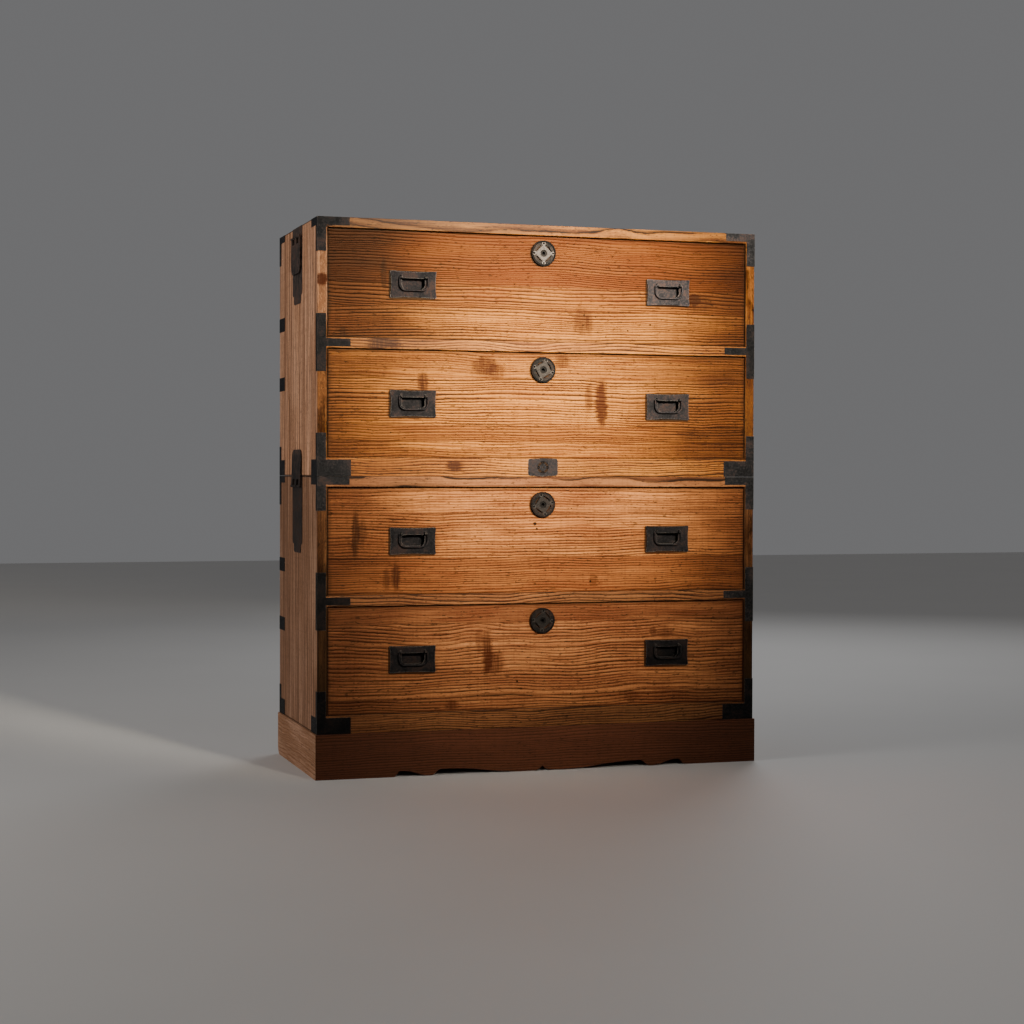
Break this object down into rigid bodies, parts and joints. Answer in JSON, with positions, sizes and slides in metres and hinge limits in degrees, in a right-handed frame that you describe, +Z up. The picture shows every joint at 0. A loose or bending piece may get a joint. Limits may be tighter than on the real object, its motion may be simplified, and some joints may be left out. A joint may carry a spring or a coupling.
{
  "type": "stacked drawer chest",
  "caption": "Two-section wooden clothing chest on a plinth, with drawers, round iron locks, recessed bail pulls, corner irons and side carrying handles.",
  "frame": {"origin": "floor level, below the middle of the cases' footprint", "axes": "+X to the right seen from the front, +Y towards the back, +Z up; the drawers open towards -Y"},
  "size_m": [0.922, 0.3866, 1.0796],
  "materials": {
    "front_wood": "oiled open grain",
    "rail_wood": "oiled open grain",
    "case_wood": "dry worn softwood",
    "plinth_wood": "dark stained",
    "inner_wood": "bare planed",
    "black_iron": "matt blackened"
  },
  "bodies": {
    "lower_case": {"plinth_front": "plinth_wood", "plinth_back": "plinth_wood", "plinth_sides": "plinth_wood", "plinth_blocks": "inner_wood", "lower_case_side_left": "case_wood", "lower_case_side_right": "case_wood", "lower_case_top": "case_wood", "lower_case_rails": "rail_wood", "lower_case_floor": "inner_wood", "lower_case_dust_board": "inner_wood", "lower_case_back": "inner_wood", "lower_case_irons": "black_iron", "lower_handle_plates": "black_iron"},
    "upper_case": {"upper_case_side_left": "case_wood", "upper_case_side_right": "case_wood", "upper_case_top": "case_wood", "upper_case_rails": "rail_wood", "upper_case_floor": "inner_wood", "upper_case_dust_board": "inner_wood", "upper_case_back": "inner_wood", "upper_case_irons": "black_iron", "upper_handle_plates": "black_iron", "upper_case_rail_plate": "black_iron"},
    "lower_left_handle": {"lower_handle_left": "black_iron"},
    "lower_right_handle": {"lower_handle_right": "black_iron"},
    "upper_left_handle": {"upper_handle_left": "black_iron"},
    "upper_right_handle": {"upper_handle_right": "black_iron"},
    "drawer_1": {"drawer_1_front": "front_wood", "drawer_1_box": "inner_wood", "drawer_1_pull_plates": "black_iron", "drawer_1_lock_case": "black_iron"},
    "lock_face_1": {"drawer_1_lock_face": "black_iron"},
    "bolt_1": {"drawer_1_bolt": "black_iron"},
    "bail_1_left": {"drawer_1_bail_left": "black_iron"},
    "bail_1_right": {"drawer_1_bail_right": "black_iron"},
    "drawer_2": {"drawer_2_front": "front_wood", "drawer_2_box": "inner_wood", "drawer_2_pull_plates": "black_iron", "drawer_2_lock_case": "black_iron"},
    "lock_face_2": {"drawer_2_lock_face": "black_iron"},
    "bolt_2": {"drawer_2_bolt": "black_iron"},
    "bail_2_left": {"drawer_2_bail_left": "black_iron"},
    "bail_2_right": {"drawer_2_bail_right": "black_iron"},
    "drawer_3": {"drawer_3_front": "front_wood", "drawer_3_box": "inner_wood", "drawer_3_pull_plates": "black_iron", "drawer_3_lock_case": "black_iron"},
    "lock_face_3": {"drawer_3_lock_face": "black_iron"},
    "bolt_3": {"drawer_3_bolt": "black_iron"},
    "bail_3_left": {"drawer_3_bail_left": "black_iron"},
    "bail_3_right": {"drawer_3_bail_right": "black_iron"},
    "drawer_4": {"drawer_4_front": "front_wood", "drawer_4_box": "inner_wood", "drawer_4_pull_plates": "black_iron", "drawer_4_lock_case": "black_iron"},
    "lock_face_4": {"drawer_4_lock_face": "black_iron"},
    "bolt_4": {"drawer_4_bolt": "black_iron"},
    "bail_4_left": {"drawer_4_bail_left": "black_iron"},
    "bail_4_right": {"drawer_4_bail_right": "black_iron"}
  },
  "joints": [
    {"name": "lower_left_handle_swing", "type": "hinge", "parent": "lower_case", "child": "lower_left_handle", "pos_m": [-0.4585, 0, 0.563], "axis": [0, -1, 0], "range_deg": [0, 182]},
    {"name": "lower_right_handle_swing", "type": "hinge", "parent": "lower_case", "child": "lower_right_handle", "pos_m": [0.4585, 0, 0.563], "axis": [0, 1, 0], "range_deg": [0, 182]},
    {"name": "upper_left_handle_swing", "type": "hinge", "parent": "upper_case", "child": "upper_left_handle", "pos_m": [-0.4585, 0, 1.0596], "axis": [0, 1, 0], "range_deg": [0, 180]},
    {"name": "upper_right_handle_swing", "type": "hinge", "parent": "upper_case", "child": "upper_right_handle", "pos_m": [0.4585, 0, 1.0596], "axis": [0, -1, 0], "range_deg": [0, 180]},
    {"name": "upper_case_lift", "type": "slide", "parent": "lower_case", "child": "upper_case", "axis": [0, 0, 1], "range_m": [0, 0.12]},
    {"name": "drawer_1_pull", "type": "slide", "parent": "upper_case", "child": "drawer_1", "axis": [0, -1, 0], "range_m": [0, 0.3]},
    {"name": "lock_1_turn", "type": "hinge", "parent": "drawer_1", "child": "lock_face_1", "pos_m": [0, -0.1885, 1.0246], "axis": [0, 1, 0], "range_deg": [0, 90]},
    {"name": "bolt_1_rise", "type": "slide", "parent": "drawer_1", "child": "bolt_1", "axis": [0, 0, 1], "range_m": [0, 0.008]},
    {"name": "bail_1_left_swing", "type": "hinge", "parent": "drawer_1", "child": "bail_1_left", "pos_m": [-0.2655, -0.1928, 0.9686], "axis": [-1, 0, 0], "range_deg": [0, 90]},
    {"name": "bail_1_right_swing", "type": "hinge", "parent": "drawer_1", "child": "bail_1_right", "pos_m": [0.2655, -0.1928, 0.9686], "axis": [-1, 0, 0], "range_deg": [0, 90]},
    {"name": "drawer_2_pull", "type": "slide", "parent": "upper_case", "child": "drawer_2", "axis": [0, -1, 0], "range_m": [0, 0.3]},
    {"name": "lock_2_turn", "type": "hinge", "parent": "drawer_2", "child": "lock_face_2", "pos_m": [0, -0.1885, 0.7946], "axis": [0, 1, 0], "range_deg": [0, 90]},
    {"name": "bolt_2_rise", "type": "slide", "parent": "drawer_2", "child": "bolt_2", "axis": [0, 0, 1], "range_m": [0, 0.008]},
    {"name": "bail_2_left_swing", "type": "hinge", "parent": "drawer_2", "child": "bail_2_left", "pos_m": [-0.2655, -0.1928, 0.7386], "axis": [-1, 0, 0], "range_deg": [0, 90]},
    {"name": "bail_2_right_swing", "type": "hinge", "parent": "drawer_2", "child": "bail_2_right", "pos_m": [0.2655, -0.1928, 0.7386], "axis": [-1, 0, 0], "range_deg": [0, 90]},
    {"name": "drawer_3_pull", "type": "slide", "parent": "lower_case", "child": "drawer_3", "axis": [0, -1, 0], "range_m": [0, 0.3]},
    {"name": "lock_3_turn", "type": "hinge", "parent": "drawer_3", "child": "lock_face_3", "pos_m": [0, -0.1885, 0.528], "axis": [0, 1, 0], "range_deg": [0, 90]},
    {"name": "bolt_3_rise", "type": "slide", "parent": "drawer_3", "child": "bolt_3", "axis": [0, 0, 1], "range_m": [0, 0.008]},
    {"name": "bail_3_left_swing", "type": "hinge", "parent": "drawer_3", "child": "bail_3_left", "pos_m": [-0.2655, -0.1928, 0.472], "axis": [-1, 0, 0], "range_deg": [0, 90]},
    {"name": "bail_3_right_swing", "type": "hinge", "parent": "drawer_3", "child": "bail_3_right", "pos_m": [0.2655, -0.1928, 0.472], "axis": [-1, 0, 0], "range_deg": [0, 90]},
    {"name": "drawer_4_pull", "type": "slide", "parent": "lower_case", "child": "drawer_4", "axis": [0, -1, 0], "range_m": [0, 0.3]},
    {"name": "lock_4_turn", "type": "hinge", "parent": "drawer_4", "child": "lock_face_4", "pos_m": [0, -0.1885, 0.298], "axis": [0, 1, 0], "range_deg": [0, 90]},
    {"name": "bolt_4_rise", "type": "slide", "parent": "drawer_4", "child": "bolt_4", "axis": [0, 0, 1], "range_m": [0, 0.008]},
    {"name": "bail_4_left_swing", "type": "hinge", "parent": "drawer_4", "child": "bail_4_left", "pos_m": [-0.2655, -0.1928, 0.242], "axis": [-1, 0, 0], "range_deg": [0, 90]},
    {"name": "bail_4_right_swing", "type": "hinge", "parent": "drawer_4", "child": "bail_4_right", "pos_m": [0.2655, -0.1928, 0.242], "axis": [-1, 0, 0], "range_deg": [0, 90]}
  ],
  "couplings": [
    {"joint": "bolt_1_rise", "follows": "lock_1_turn", "m_per_rad": 0.00509},
    {"joint": "bolt_2_rise", "follows": "lock_2_turn", "m_per_rad": 0.00509},
    {"joint": "bolt_3_rise", "follows": "lock_3_turn", "m_per_rad": 0.00509},
    {"joint": "bolt_4_rise", "follows": "lock_4_turn", "m_per_rad": 0.00509}
  ]
}
